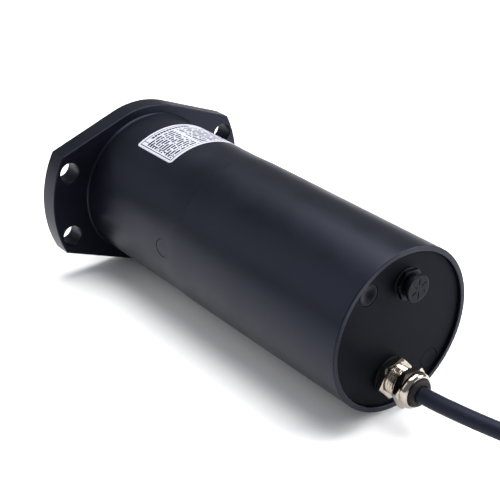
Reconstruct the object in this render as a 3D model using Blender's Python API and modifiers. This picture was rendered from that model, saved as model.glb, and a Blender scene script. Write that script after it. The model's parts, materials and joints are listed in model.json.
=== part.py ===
"""Roller shutter motor.

A tubular gear motor lies with its axis level. A diamond flange with four bolt holes carries it,
and its keyed output shaft comes out of the flange's front. Behind the flange are a housing with
two planetary gear stages and a tube with the motor, its brake and the mains connection. The rear
cover has a vent plug, two limit screws behind round plugs and a gland with the mains cable.

Along the axis, lengths count from the flange's mounting face towards the cable.
World +X runs the same way, +Z is up, and the flange's foot stands on Z = 0.
"""
from math import acos, cos, pi, radians, sin, tan

import bmesh
import bpy
from mathutils import Matrix, Vector

MM = 0.001
GAP = 0.3 * MM

# ---------------------------------------------------------------- driving dimensions
FLANGE_THICKNESS = 13.8 * MM
FLANGE_END_RADIUS = 75.0 * MM
FLANGE_WAIST_RADIUS = 55.8 * MM
FLANGE_CORNER_ANGLE = radians(27.3)
BOLT_CIRCLE_RADIUS = 65.9 * MM
BOLT_ANGLE = radians(20.0)
BOLT_HOLE_RADIUS = 6.75 * MM
SPIGOT_RADIUS = 43.2 * MM
SPIGOT_END = 24.0 * MM

HOUSING_RADIUS = 49.45 * MM
HOUSING_BORE = 43.5 * MM
HOUSING_END = 112.0 * MM
HOUSING_SOCKET_END = 124.0 * MM
TUBE_RADIUS = 50.0 * MM
TUBE_BORE = 46.7 * MM
TUBE_END = 257.5 * MM
INSERT_RADIUS = TUBE_BORE - GAP
EDGE_BREAK = 0.5 * MM

COVER_RECESS = 2.0 * MM
COVER_THICKNESS = 6.0 * MM
COVER_FACE = TUBE_END - COVER_RECESS
COVER_BACK = COVER_FACE - COVER_THICKNESS

SHAFT_PROJECTION = 50.0 * MM
SHAFT_RADIUS = 12.5 * MM
JOURNAL_RADIUS = 15.0 * MM
KEY_WIDTH = 8.0 * MM
KEY_HEIGHT = 7.0 * MM
KEY_LENGTH = 36.0 * MM
KEY_DEPTH = 4.0 * MM
KEY_FROM_TIP = 5.0 * MM
SEAL_SEAT = 21.2 * MM
BEARING_SEAT = 27.8 * MM
BEARING_SHOULDER = 7.0 * MM
BEARING_WIDTH = 8.2 * MM

GEAR_MODULE = 1.2 * MM
SUN_TEETH = 12
PLANET_TEETH = 24
RING_TEETH = SUN_TEETH + 2 * PLANET_TEETH
PLANETS = 3
PRESSURE_ANGLE = radians(20.0)
ADDENDUM = 0.85
DEDENDUM = 1.15
BACKLASH = 0.45 * MM
PLANET_ORBIT = (SUN_TEETH + PLANET_TEETH) * GEAR_MODULE / 2
PLANET_ANGLES = [radians(90 + 360 * k / PLANETS) for k in range(PLANETS)]
PLANET_PIN_RADIUS = 3.0 * MM
SUN_SEAT_RADIUS = 3.3 * MM
CARRIER_RADIUS = 27.0 * MM
CARRIER_SEAT_RADIUS = 9.0 * MM
# Where each gear and carrier starts and ends along the axis.
OUTPUT_CARRIER = (26.0 * MM, 34.0 * MM)
OUTPUT_PLANET = (34.6 * MM, 56.6 * MM)
FIRST_CARRIER = (58.2 * MM, 64.2 * MM)
FIRST_PLANET = (64.8 * MM, 78.8 * MM)
RING_GEAR = (30.0 * MM, 82.0 * MM)
FIRST_SPIGOT_START = OUTPUT_PLANET[0] + 0.6 * MM
ROTOR_NOSE = FIRST_PLANET[0] + 0.6 * MM

# The motor's two end plates, its cores, its brake and the tray behind it.
FRONT_PLATE = 84.0 * MM
FRONT_PLATE_LENGTH = 11.0 * MM
REAR_PLATE = 196.0 * MM
REAR_PLATE_LENGTH = 9.0 * MM
CORE_START = 126.0 * MM
CORE_END = 181.0 * MM
ROTOR_RADIUS = 26.4 * MM
STATOR_BORE = 27.0 * MM
ROTOR_SHAFT_RADIUS = 8.0 * MM
ROTOR_SHOULDER_RADIUS = 7.0 * MM
ROTOR_STUB_RADIUS = 3.9 * MM
ROTOR_END = 210.5 * MM
WINDING_LENGTH = 12.5 * MM
BRAKE_DISC = (206.0 * MM, 210.0 * MM)
BRAKE_ARMATURE = (210.8 * MM, 213.2 * MM)
BRAKE_MAGNET = (214.0 * MM, 224.0 * MM)
TRAY_FACE = 228.0 * MM

GLAND_TIP = TUBE_END + 22.7 * MM
GLAND_PLACE = (-4.5 * MM, -27.4 * MM)
GLAND_HEX = 22.0 * MM
GLAND_THREAD_RADIUS = 9.0 * MM
VENT_PLACE = (1.5 * MM, 29.0 * MM)
VENT_HEX = 16.8 * MM
VENT_THREAD_RADIUS = 6.0 * MM
LIMIT_CIRCLE_RADIUS = 39.2 * MM
LIMIT_ANGLES = {"upper": radians(131.0), "lower": radians(-47.0)}
LIMIT_PLUG_RADIUS = 6.5 * MM

OIL_PLUG_PLACE = 100.0 * MM
OIL_PLUG_RADIUS = 6.0 * MM
LABEL_START = 39.0 * MM
LABEL_END = 76.0 * MM
LABEL_FIRST_ANGLE = radians(42.0)
LABEL_LAST_ANGLE = radians(121.9)
LABEL_THICKNESS = 0.2 * MM

CABLE_DIAMETER = 9.5 * MM
CABLE_RADIUS = CABLE_DIAMETER / 2
COIL_MEAN_RADIUS = 50.0 * MM
COIL_CENTRE = (0.325, 0.0)
COIL_HALF_WIDTH = 1.5 * CABLE_DIAMETER
COIL_LAYER = CABLE_DIAMETER * sin(radians(60))
COIL_HALF_HEIGHT = COIL_LAYER + CABLE_RADIUS
TIE_THICKNESS = 1.2 * MM
TIE_WIDTH = 5.0 * MM
TIE_ANGLES = (radians(10), radians(190))
COIL_FOOT = TIE_THICKNESS + GAP + 0.1 * MM
CORE_NAMES = ("up_core", "down_core", "neutral_core", "earth_core")
CORE_RADIUS = 1.3 * MM
CORE_LENGTH = 30.0 * MM
CORE_SPREAD = 5.0 * MM
CORE_POINTS = 6

# The cable's free route from the gland to the coil, then the route of its loose end.
LEAD_ROUTE = [
    (0.1654, -0.0045, 0.0284),
    (0.1750, -0.0040, 0.0287),
    (0.1850, -0.0028, 0.0290),
    (0.1950, -0.0012, 0.0292),
    (0.2050, 0.0010, 0.0292),
    (0.2150, 0.0038, 0.0289),
    (0.2240, 0.0072, 0.0281),
    (0.2325, 0.0113, 0.0265),
    (0.2405, 0.0161, 0.0238),
    (0.2480, 0.0215, 0.0201),
    (0.2550, 0.0272, 0.0160),
    (0.2618, 0.0333, 0.0121),
    (0.2685, 0.0398, 0.0088),
    (0.2752, 0.0464, 0.0064),
    (0.2822, 0.0527, 0.0053),
    (0.2898, 0.0583, 0.0051),
]
TAIL_LANE = 69.6 * MM
TAIL_HEIGHT = 5.05 * MM
TAIL_ROUTE = [
    (COIL_CENTRE[0] + TAIL_LANE * cos(radians(a)), COIL_CENTRE[1] + TAIL_LANE * sin(radians(a)),
     TAIL_HEIGHT) for a in range(-64, -107, -7)
]
TUBE_SPACING = 2.5 * CABLE_DIAMETER

ROUND_STEPS = 48
SMALL_STEPS = 24
FEW_STEPS = 16

# ---------------------------------------------------------------- frame
ORIGIN_ALONG = (GLAND_TIP - SHAFT_PROJECTION) / 2
AXIS_HEIGHT = FLANGE_WAIST_RADIUS
# Local X, Y and Z of a part are the world's Y, Z and X, so local Z runs along the motor.
AXIAL = Matrix.Translation((-ORIGIN_ALONG, 0, AXIS_HEIGHT)) @ Matrix(
    ((0, 0, 1, 0), (1, 0, 0, 0), (0, 1, 0, 0), (0, 0, 0, 1)))

for leftover in list(bpy.data.objects):
    bpy.data.objects.remove(leftover, do_unlink=True)
motor_parts = bpy.data.collections.new("roller_shutter_motor")
motor_cutters = bpy.data.collections.new("cutters")
bpy.context.scene.collection.children.link(motor_parts)
bpy.context.scene.collection.children.link(motor_cutters)


# ---------------------------------------------------------------- finishes
def finish(name, colour, roughness, metallic=0.0):
    material = bpy.data.materials.new(name)
    material.use_nodes = True
    shader = material.node_tree.nodes["Principled BSDF"]
    shader.inputs["Base Color"].default_value = (*colour, 1.0)
    shader.inputs["Roughness"].default_value = roughness
    shader.inputs["Metallic"].default_value = metallic
    return material


BLACK_PAINT = finish("black_paint", (0.018, 0.020, 0.028), 0.38)
COVER_GREY = finish("cover_grey", (0.020, 0.022, 0.028), 0.55)
BLACK_PLASTIC = finish("black_plastic", (0.012, 0.012, 0.014), 0.45)
BLACK_RUBBER = finish("black_rubber", (0.015, 0.015, 0.017), 0.75)
NICKEL = finish("nickel_plate", (0.66, 0.63, 0.58), 0.18, 1.0)
STEEL = finish("ground_steel", (0.55, 0.56, 0.58), 0.30, 1.0)
GEAR_STEEL = finish("gear_steel", (0.40, 0.41, 0.43), 0.40, 1.0)
LAMINATION = finish("lamination_steel", (0.30, 0.31, 0.33), 0.50, 1.0)
COPPER = finish("enamelled_copper", (0.45, 0.16, 0.07), 0.40, 1.0)
ALUMINIUM = finish("cast_aluminium", (0.60, 0.61, 0.62), 0.45, 1.0)
LABEL_WHITE = finish("label_film", (0.80, 0.80, 0.82), 0.40)
WHITE_PLASTIC = finish("white_plastic", (0.75, 0.74, 0.70), 0.45)
LINING = finish("brake_lining", (0.10, 0.08, 0.07), 0.85)
CORE_PLASTIC = finish("core_plastic", (0.10, 0.14, 0.45), 0.50)


# ---------------------------------------------------------------- shape tools
def add_object(name, data, matrix, material=None):
    """Link an object; one without a material is a cutter."""
    thing = bpy.data.objects.new(name, data)
    thing.matrix_world = matrix
    if material is None:
        motor_cutters.objects.link(thing)
        thing.hide_render = True
        thing.display_type = "WIRE"
    else:
        data.materials.append(material)
        motor_parts.objects.link(thing)
    return thing


def at(place=(0.0, 0.0), along=0.0, turn=0.0):
    """Matrix of a part whose own axis stands at place across the motor's axis."""
    return AXIAL @ Matrix.Translation((place[0], place[1], along)) @ Matrix.Rotation(turn, 4, "Z")


def around(radius, angle):
    return (radius * cos(angle), radius * sin(angle))


def turned(name, profile, material=None, matrix=None, steps=ROUND_STEPS, ring=True):
    """Turn a profile of (radius, along) points, listed down its outer side and up its inner side."""
    mesh = bpy.data.meshes.new(name)
    corners = [(radius, 0.0, along) for radius, along in profile]
    edges = [(i, i + 1) for i in range(len(corners) - 1)]
    if ring:
        edges.append((len(corners) - 1, 0))
    mesh.from_pydata(corners, edges, [])
    part = add_object(name, mesh, matrix or AXIAL, material)
    screw = part.modifiers.new("turn", "SCREW")
    screw.steps = steps
    screw.render_steps = steps
    screw.use_merge_vertices = True
    screw.merge_threshold = 0.01 * MM
    return part


def ring_profile(inner, outer, start, end, edge=0.0):
    """A plain ring, its outer edges broken by a small chamfer."""
    if edge == 0.0:
        return [(outer, end), (outer, start), (inner, start), (inner, end)]
    return [(outer - edge, end), (outer, end - edge), (outer, start + edge),
            (outer - edge, start), (inner, start), (inner, end)]


def rod_profile(radius, start, end, edge=0.0):
    """A round bar that closes on its own axis."""
    if edge == 0.0:
        return [(0.0, end), (radius, end), (radius, start), (0.0, start)]
    return [(0.0, end), (radius - edge, end), (radius, end - edge),
            (radius, start + edge), (radius - edge, start), (0.0, start)]


def bearing_profile(inner, outer, start, end):
    """A ball bearing: two rings with shallow shields set back between them."""
    wall = (outer - inner) / 4
    shield = 0.6 * MM
    return [(outer, end), (outer, start), (outer - wall, start), (outer - wall, start + shield),
            (inner + wall, start + shield), (inner + wall, start), (inner, start), (inner, end),
            (inner + wall, end), (inner + wall, end - shield), (outer - wall, end - shield),
            (outer - wall, end)]


def circle(radius, centre=(0.0, 0.0), count=SMALL_STEPS, turn=0.0):
    return [(centre[0] + radius * cos(turn + 2 * pi * k / count),
             centre[1] + radius * sin(turn + 2 * pi * k / count)) for k in range(count)]


def hexagon(across_flats, centre=(0.0, 0.0), turn=0.0):
    return circle(across_flats / 2 / cos(pi / 6), centre, 6, turn)


def flat(name, outlines, start, end, material=None, matrix=None):
    """A flat outline with holes, as thick as the stretch from start to end along the axis."""
    curve = bpy.data.curves.new(name, "CURVE")
    curve.dimensions = "2D"
    curve.fill_mode = "BOTH"
    curve.extrude = (end - start) / 2
    for outline in outlines:
        spline = curve.splines.new("POLY")
        spline.points.add(len(outline) - 1)
        for point, (x, y) in zip(spline.points, outline):
            point.co = (x, y, 0.0, 1.0)
        spline.use_cyclic_u = True
    lift = Matrix.Translation((0, 0, (start + end) / 2))
    return add_object(name, curve, (matrix or AXIAL) @ lift, material)


def as_mesh(curve_object, material=None):
    """Swap a curve for the welded mesh that it draws, so that it can be cut or cut others."""
    bpy.context.view_layer.update()
    evaluated = curve_object.evaluated_get(bpy.context.evaluated_depsgraph_get())
    mesh = bpy.data.meshes.new_from_object(evaluated)
    mesh.materials.clear()
    shape = bmesh.new()
    shape.from_mesh(mesh)
    bmesh.ops.remove_doubles(shape, verts=shape.verts, dist=0.001 * MM)
    shape.to_mesh(mesh)
    shape.free()
    name = curve_object.name
    matrix = curve_object.matrix_world.copy()
    bpy.data.objects.remove(curve_object, do_unlink=True)
    return add_object(name, mesh, matrix, material)


def boolean(part, other, operation="DIFFERENCE"):
    step = part.modifiers.new(operation.lower(), "BOOLEAN")
    step.operation = operation
    step.solver = "EXACT"
    step.object = other
    return part


def block(name, size, centre, material=None, edge=0.0):
    """A box by its size and centre, both across, up and along the motor."""
    mesh = bpy.data.meshes.new(name)
    shape = bmesh.new()
    bmesh.ops.create_cube(shape, size=1.0, matrix=Matrix.Diagonal((*size, 1.0)))
    shape.to_mesh(mesh)
    shape.free()
    part = add_object(name, mesh, AXIAL @ Matrix.Translation(centre), material)
    if edge > 0.0:
        bevel = part.modifiers.new("edges", "BEVEL")
        bevel.width = edge
        bevel.segments = 1
    return part


# ---------------------------------------------------------------- flange and casings
def flange_outline():
    """Round ends of a large circle, straight flanks, and a small arc over and under the tube."""
    tangent = FLANGE_CORNER_ANGLE + acos(FLANGE_WAIST_RADIUS / FLANGE_END_RADIUS)
    arc_points = 8
    end_arc = [FLANGE_CORNER_ANGLE * (2 * k / arc_points - 1) for k in range(arc_points + 1)]
    waist_arc = [tangent + (pi - 2 * tangent) * k / arc_points for k in range(arc_points + 1)]
    half = [around(FLANGE_END_RADIUS, a) for a in end_arc]
    half += [around(FLANGE_WAIST_RADIUS, a) for a in waist_arc]
    return half + [(-x, -y) for x, y in half]


def bolt_places():
    for angle in (BOLT_ANGLE, pi - BOLT_ANGLE, pi + BOLT_ANGLE, -BOLT_ANGLE):
        yield around(BOLT_CIRCLE_RADIUS, angle)


def mounting_flange():
    holes = [circle(BOLT_HOLE_RADIUS, place, FEW_STEPS) for place in bolt_places()]
    plate = as_mesh(flat("mounting_flange", [flange_outline(), *holes], 0.0, FLANGE_THICKNESS,
                         BLACK_PAINT), BLACK_PAINT)
    spigot = turned("flange_spigot", rod_profile(SPIGOT_RADIUS, FLANGE_THICKNESS / 2, SPIGOT_END),
                    steps=SMALL_STEPS, ring=False)
    boolean(plate, spigot, "UNION")
    bore = turned("flange_bore", [
        (0.0, SPIGOT_END + 1 * MM), (BEARING_SEAT, SPIGOT_END + 1 * MM),
        (BEARING_SEAT, BEARING_SHOULDER), (SEAL_SEAT, BEARING_SHOULDER),
        (SEAL_SEAT, -1 * MM), (0.0, -1 * MM)], ring=False)
    boolean(plate, bore)


def gear_housing():
    start = FLANGE_THICKNESS + GAP
    socket = TUBE_BORE - GAP
    body = turned("gear_housing", [
        (socket - EDGE_BREAK, HOUSING_SOCKET_END), (socket, HOUSING_SOCKET_END - EDGE_BREAK),
        (socket, HOUSING_END), (HOUSING_RADIUS - EDGE_BREAK, HOUSING_END),
        (HOUSING_RADIUS, HOUSING_END - EDGE_BREAK), (HOUSING_RADIUS, start),
        (HOUSING_BORE, start), (HOUSING_BORE, HOUSING_SOCKET_END)], BLACK_PAINT)
    seat = turned("oil_plug_seat", rod_profile(OIL_PLUG_RADIUS + GAP, 45.8 * MM, 52 * MM),
                  None, side_matrix(OIL_PLUG_PLACE), SMALL_STEPS, ring=False)
    boolean(body, seat)


def side_matrix(along):
    """Local Z points out of the motor's side, towards world -Y."""
    return AXIAL @ Matrix.Translation((0, 0, along)) @ Matrix.Rotation(radians(-90), 4, "Y")


def oil_plug():
    top = 49.2 * MM
    turned("oil_plug", [(0.0, top), (OIL_PLUG_RADIUS, top), (OIL_PLUG_RADIUS, 46.1 * MM),
                        (0.0, 46.1 * MM)], BLACK_PAINT, side_matrix(OIL_PLUG_PLACE),
           SMALL_STEPS, ring=False)


def motor_tube():
    start = HOUSING_END + GAP
    turned("motor_tube", [
        (TUBE_BORE + EDGE_BREAK, TUBE_END), (TUBE_RADIUS - EDGE_BREAK, TUBE_END),
        (TUBE_RADIUS, TUBE_END - EDGE_BREAK), (TUBE_RADIUS, start + EDGE_BREAK),
        (TUBE_RADIUS - EDGE_BREAK, start), (TUBE_BORE, start),
        (TUBE_BORE, TUBE_END - EDGE_BREAK)], BLACK_PAINT)


def rating_label():
    """A thin film wrapped over the top of the housing."""
    outside = HOUSING_RADIUS + GAP + LABEL_THICKNESS
    mesh = bpy.data.meshes.new("rating_label")
    mesh.from_pydata([(outside, 0, LABEL_END), (outside, 0, LABEL_START)], [(0, 1)], [])
    film = add_object("rating_label", mesh, at(turn=LABEL_FIRST_ANGLE), LABEL_WHITE)
    wrap = film.modifiers.new("wrap", "SCREW")
    wrap.angle = LABEL_LAST_ANGLE - LABEL_FIRST_ANGLE
    wrap.steps = 14
    wrap.render_steps = 14
    thick = film.modifiers.new("film", "SOLIDIFY")
    thick.thickness = LABEL_THICKNESS
    thick.offset = -1.0


# ---------------------------------------------------------------- rear cover and fittings
def limit_place(which):
    return around(LIMIT_CIRCLE_RADIUS, LIMIT_ANGLES[which])


def rear_cover():
    holes = [circle(VENT_THREAD_RADIUS + GAP, VENT_PLACE),
             circle(GLAND_THREAD_RADIUS + GAP, GLAND_PLACE)]
    holes += [circle(LIMIT_PLUG_RADIUS + GAP, limit_place(which)) for which in LIMIT_ANGLES]
    flat("rear_cover", [circle(INSERT_RADIUS, count=ROUND_STEPS), *holes],
         COVER_BACK, COVER_FACE, COVER_GREY)


def limit_plugs():
    face = COVER_FACE
    profile = [(0.0, face - 1.3 * MM), (4.6 * MM, face - 0.7 * MM), (5.9 * MM, face - 0.1 * MM),
               (LIMIT_PLUG_RADIUS, face - 0.3 * MM), (LIMIT_PLUG_RADIUS, COVER_BACK + 1 * MM),
               (0.0, COVER_BACK + 1 * MM)]
    for which in LIMIT_ANGLES:
        turned(f"{which}_limit_plug", profile, BLACK_PLASTIC, at(limit_place(which)),
               SMALL_STEPS, ring=False)


def vent_plug():
    seal_top = COVER_FACE + 1.4 * MM
    hex_start = seal_top + GAP
    hex_end = TUBE_END + 2.5 * MM
    neck_end = TUBE_END + 5.8 * MM
    cap_top = TUBE_END + 7.7 * MM
    cap_foot = TUBE_END + 3.2 * MM
    cap_radius = 8.05 * MM
    neck_radius = 4.8 * MM
    turned("vent_plug_seal", ring_profile(VENT_THREAD_RADIUS + GAP, 8.6 * MM, COVER_FACE + GAP,
                                          seal_top), BLACK_RUBBER, at(VENT_PLACE), SMALL_STEPS)
    body = as_mesh(flat("vent_plug_body", [hexagon(VENT_HEX, VENT_PLACE, radians(-5))],
                        hex_start, hex_end, BLACK_PLASTIC), BLACK_PLASTIC)
    stem = turned("vent_stem", [
        (0.0, neck_end), (neck_radius, neck_end), (neck_radius, hex_end - 1 * MM),
        (VENT_THREAD_RADIUS, hex_end - 1 * MM), (VENT_THREAD_RADIUS, COVER_BACK - 2.5 * MM),
        (0.0, COVER_BACK - 2.5 * MM)], None, at(VENT_PLACE), SMALL_STEPS, ring=False)
    boolean(body, stem, "UNION")
    turned("vent_cap", [
        (0.0, cap_top), (cap_radius - 0.6 * MM, cap_top), (cap_radius, cap_top - 0.6 * MM),
        (cap_radius, cap_foot), (neck_radius + GAP, cap_foot), (neck_radius + GAP, neck_end + GAP),
        (0.0, neck_end + GAP)], BLACK_PLASTIC, at(VENT_PLACE), SMALL_STEPS, ring=False)


def cable_gland():
    """Washer, body, cap nut and rubber seal outside, and a lock nut behind the cover."""
    bore = CABLE_RADIUS + 2 * GAP
    washer_top = COVER_FACE + 1.3 * MM
    hex_start = washer_top + GAP
    hex_end = TUBE_END + 4.0 * MM
    neck_end = TUBE_END + 14.0 * MM
    nut_start = TUBE_END + 11.8 * MM
    nut_hex_end = TUBE_END + 16.4 * MM
    dome_end = TUBE_END + 20.5 * MM
    seal_radius = 8.1 * MM
    thread_end = COVER_BACK - 6.0 * MM
    place = at(GLAND_PLACE)
    turned("gland_washer", ring_profile(GLAND_THREAD_RADIUS + GAP, 11.4 * MM, COVER_FACE + GAP,
                                        washer_top), BLACK_RUBBER, place, SMALL_STEPS)
    body = as_mesh(flat("gland_body", [hexagon(GLAND_HEX, GLAND_PLACE, radians(13.5))],
                        hex_start, hex_end, NICKEL), NICKEL)
    stem = turned("gland_stem", rod_profile(GLAND_THREAD_RADIUS, thread_end, neck_end), None,
                  place, SMALL_STEPS, ring=False)
    passage = turned("gland_passage", rod_profile(bore, thread_end - 1 * MM, neck_end + 1 * MM),
                     None, place, SMALL_STEPS, ring=False)
    boolean(body, stem, "UNION")
    boolean(body, passage)

    nut = as_mesh(flat("gland_cap_nut", [hexagon(GLAND_HEX, GLAND_PLACE, radians(-1.7))],
                       nut_start, nut_hex_end, NICKEL), NICKEL)
    dome = turned("gland_dome", [
        (0.0, dome_end), (9.2 * MM, dome_end), (10.2 * MM, dome_end - 0.9 * MM),
        (10.9 * MM, dome_end - 2.4 * MM), (10.95 * MM, nut_hex_end - 1 * MM),
        (0.0, nut_hex_end - 1 * MM)], None, place, SMALL_STEPS, ring=False)
    cavity = turned("gland_cavity", [
        (0.0, dome_end + 1 * MM), (seal_radius + GAP, dome_end + 1 * MM),
        (seal_radius + GAP, neck_end + GAP), (GLAND_THREAD_RADIUS + GAP, neck_end + GAP),
        (GLAND_THREAD_RADIUS + GAP, nut_start - 1 * MM), (0.0, nut_start - 1 * MM)],
        None, place, SMALL_STEPS, ring=False)
    boolean(nut, dome, "UNION")
    boolean(nut, cavity)

    turned("gland_seal", [
        (seal_radius - 1.0 * MM, GLAND_TIP), (seal_radius, GLAND_TIP - 1.0 * MM),
        (seal_radius, neck_end + GAP), (CABLE_RADIUS + GAP, neck_end + GAP),
        (CABLE_RADIUS + GAP, GLAND_TIP)], BLACK_RUBBER, place, SMALL_STEPS)
    flat("gland_lock_nut", [hexagon(26 * MM, GLAND_PLACE),
                            circle(GLAND_THREAD_RADIUS + GAP, GLAND_PLACE)],
         COVER_BACK - 5.2 * MM, COVER_BACK - GAP, NICKEL)


# ---------------------------------------------------------------- output shaft
def output_shaft():
    shoulder = BEARING_SHOULDER + GAP
    journal_end = OUTPUT_CARRIER[0] - GAP
    tip = -SHAFT_PROJECTION
    chamfer = 1.0 * MM
    shaft = turned("output_shaft", [
        (0.0, OUTPUT_CARRIER[1]), (CARRIER_SEAT_RADIUS, OUTPUT_CARRIER[1]),
        (CARRIER_SEAT_RADIUS, journal_end), (JOURNAL_RADIUS, journal_end),
        (JOURNAL_RADIUS, shoulder), (SHAFT_RADIUS, shoulder), (SHAFT_RADIUS, tip + chamfer),
        (SHAFT_RADIUS - chamfer, tip), (3.5 * MM, tip), (3.5 * MM, tip + 12 * MM),
        (0.0, tip + 14 * MM)], STEEL, steps=SMALL_STEPS, ring=False)
    key_centre_along = tip + KEY_FROM_TIP + KEY_LENGTH / 2
    groove = block("keyway", (KEY_WIDTH + 2 * GAP, 2 * KEY_DEPTH + 2 * GAP,
                              KEY_LENGTH + 2 * GAP), (0, SHAFT_RADIUS, key_centre_along))
    boolean(shaft, groove)
    block("shaft_key", (KEY_WIDTH, KEY_HEIGHT, KEY_LENGTH),
          (0, SHAFT_RADIUS - KEY_DEPTH + KEY_HEIGHT / 2, key_centre_along), STEEL, 0.4 * MM)
    turned("shaft_seal", [
        (SEAL_SEAT - GAP, BEARING_SHOULDER - GAP), (SEAL_SEAT - GAP, 0.6 * MM),
        (SHAFT_RADIUS + 2.2 * MM, 0.6 * MM), (SHAFT_RADIUS + GAP, 2.4 * MM),
        (SHAFT_RADIUS + GAP, 4.2 * MM), (SHAFT_RADIUS + 2.2 * MM, BEARING_SHOULDER - GAP)],
        BLACK_RUBBER, steps=SMALL_STEPS)
    for number in (1, 2):
        start = shoulder + (number - 1) * (BEARING_WIDTH + GAP)
        turned(f"output_bearing_{number}",
               bearing_profile(JOURNAL_RADIUS + GAP, BEARING_SEAT - GAP, start,
                               start + BEARING_WIDTH),
               STEEL, steps=SMALL_STEPS)


# ---------------------------------------------------------------- planetary gears
def gear_outline(teeth, phase, inside=False):
    """Straight-flanked teeth on a pitch circle; a ring's teeth point to the axis."""
    pitch_radius = teeth * GEAR_MODULE / 2
    inward = -1 if inside else 1
    tip = pitch_radius + inward * ADDENDUM * GEAR_MODULE
    root = pitch_radius - inward * DEDENDUM * GEAR_MODULE
    half = pi * GEAR_MODULE / 4 - BACKLASH / 2
    half_tip = half - ADDENDUM * GEAR_MODULE * tan(PRESSURE_ANGLE)
    half_root = half + DEDENDUM * GEAR_MODULE * tan(PRESSURE_ANGLE)
    corners = ((root, -half_root), (tip, -half_tip), (tip, half_tip), (root, half_root))
    outline = []
    for tooth in range(teeth):
        middle = phase + 2 * pi * tooth / teeth
        outline += [around(radius, middle + offset / radius) for radius, offset in corners]
    return outline


def planet_phase(angle):
    """Turn of a planet at this angle whose tooth stands in a gap of the ring gear."""
    ring_phase = angle * RING_TEETH / (2 * pi)
    return angle - (0.5 + ring_phase) * 2 * pi / PLANET_TEETH


def sun_phase():
    """Turn of the sun gear that meshes with the planets as they stand."""
    angle = PLANET_ANGLES[0]
    planet_tooth = (angle + pi - planet_phase(angle)) * PLANET_TEETH / (2 * pi)
    return angle - (0.5 - planet_tooth) * 2 * pi / SUN_TEETH


def planet_places():
    return [around(PLANET_ORBIT, angle) for angle in PLANET_ANGLES]


def planet_stage(name, carrier, planet, spigot_start=None):
    """Carrier with its three pins, the planets on them and the sun of one stage."""
    outlines = [circle(CARRIER_RADIUS)]
    if spigot_start is None:
        outlines.append(circle(CARRIER_SEAT_RADIUS + GAP))
    plate = as_mesh(flat(f"{name}_carrier", outlines, *carrier, GEAR_STEEL), GEAR_STEEL)
    inside_plate = (carrier[0] + carrier[1]) / 2
    for place in planet_places():
        pin = turned(f"{name}_pin", rod_profile(PLANET_PIN_RADIUS, inside_plate, planet[1] + GAP),
                     None, at(place), 12, ring=False)
        boolean(plate, pin, "UNION")
    if spigot_start is not None:
        spigot = turned(f"{name}_spigot", rod_profile(SUN_SEAT_RADIUS, spigot_start, inside_plate),
                        None, steps=SMALL_STEPS, ring=False)
        boolean(plate, spigot, "UNION")
    pin_hole = PLANET_PIN_RADIUS + GAP
    for number, (place, angle) in enumerate(zip(planet_places(), PLANET_ANGLES), 1):
        flat(f"{name}_planet_{number}",
             [gear_outline(PLANET_TEETH, planet_phase(angle)), circle(pin_hole, count=FEW_STEPS)],
             *planet, GEAR_STEEL, at(place))
    flat(f"{name}_sun_gear",
         [gear_outline(SUN_TEETH, sun_phase()), circle(SUN_SEAT_RADIUS + GAP, count=FEW_STEPS)],
         planet[0] + 0.4 * MM, planet[1] + 0.9 * MM, GEAR_STEEL)


def gearbox():
    flat("ring_gear", [circle(SPIGOT_RADIUS, count=ROUND_STEPS), gear_outline(RING_TEETH, 0, True)],
         *RING_GEAR, GEAR_STEEL)
    planet_stage("output", OUTPUT_CARRIER, OUTPUT_PLANET)
    planet_stage("first", FIRST_CARRIER, FIRST_PLANET, FIRST_SPIGOT_START)


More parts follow.
